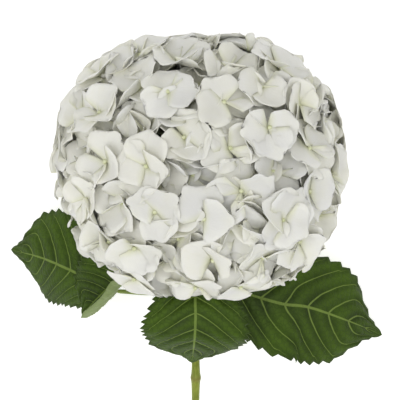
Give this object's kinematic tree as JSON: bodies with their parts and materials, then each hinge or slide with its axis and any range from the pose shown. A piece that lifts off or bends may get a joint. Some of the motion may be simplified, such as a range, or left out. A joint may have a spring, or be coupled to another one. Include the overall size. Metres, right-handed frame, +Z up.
{
  "type": "cut hydrangea",
  "caption": "Cut mophead hydrangea lying down: a round head of overlapping florets on a bare stem with toothed leaves just below it.",
  "frame": {"origin": "centre of the bounding box's base, on the surface that the flower lies on", "axes": "+Y along the stem's run on the surface, from its cut end to the flower head; +Z up from the surface; +X to the right with the head away from the viewer"},
  "size_m": [0.3027, 0.3862, 0.2013],
  "materials": {
    "sepal_white": "matte",
    "leaf_green": "satin",
    "stem_green": "satin"
  },
  "bodies": {
    "root": {"floret_cluster_01": "sepal_white", "floret_cluster_02": "sepal_white", "floret_cluster_03": "sepal_white", "floret_cluster_04": "sepal_white", "floret_cluster_05": "sepal_white", "floret_cluster_06": "sepal_white", "floret_cluster_07": "sepal_white", "floret_cluster_08": "sepal_white", "floret_cluster_09": "sepal_white", "floret_cluster_10": "sepal_white", "floret_cluster_11": "sepal_white", "floret_cluster_12": "sepal_white", "floret_cluster_13": "sepal_white", "floret_cluster_14": "sepal_white", "floret_cluster_15": "sepal_white", "floret_cluster_16": "sepal_white", "floret_cluster_17": "sepal_white", "floret_cluster_18": "sepal_white", "floret_cluster_19": "sepal_white", "floret_cluster_20": "sepal_white", "floret_cluster_21": "sepal_white", "floret_cluster_22": "sepal_white", "floret_cluster_23": "sepal_white", "floret_cluster_24": "sepal_white", "floret_cluster_25": "sepal_white", "floret_cluster_26": "sepal_white", "floret_cluster_27": "sepal_white", "floret_cluster_28": "sepal_white", "floret_cluster_29": "sepal_white", "floret_cluster_30": "sepal_white", "floret_cluster_31": "sepal_white", "floret_cluster_32": "sepal_white", "floret_cluster_33": "sepal_white", "floret_cluster_34": "sepal_white", "floret_cluster_35": "sepal_white", "floret_cluster_36": "sepal_white", "floret_cluster_37": "sepal_white", "floret_cluster_38": "sepal_white", "floret_cluster_39": "sepal_white", "floret_cluster_40": "sepal_white", "floret_cluster_41": "sepal_white", "floret_cluster_42": "sepal_white", "floret_cluster_43": "sepal_white", "floret_cluster_44": "sepal_white", "floret_cluster_45": "sepal_white", "leaf_front": "leaf_green", "leaf_left": "leaf_green", "leaf_lower_left": "leaf_green", "leaf_right": "leaf_green", "ray_1": "stem_green", "ray_2": "stem_green", "ray_3": "stem_green", "ray_4": "stem_green", "ray_5": "stem_green", "ray_6": "stem_green", "ray_7": "stem_green", "ray_8": "stem_green", "ray_9": "stem_green", "stem": "stem_green"}
  },
  "joints": []
}
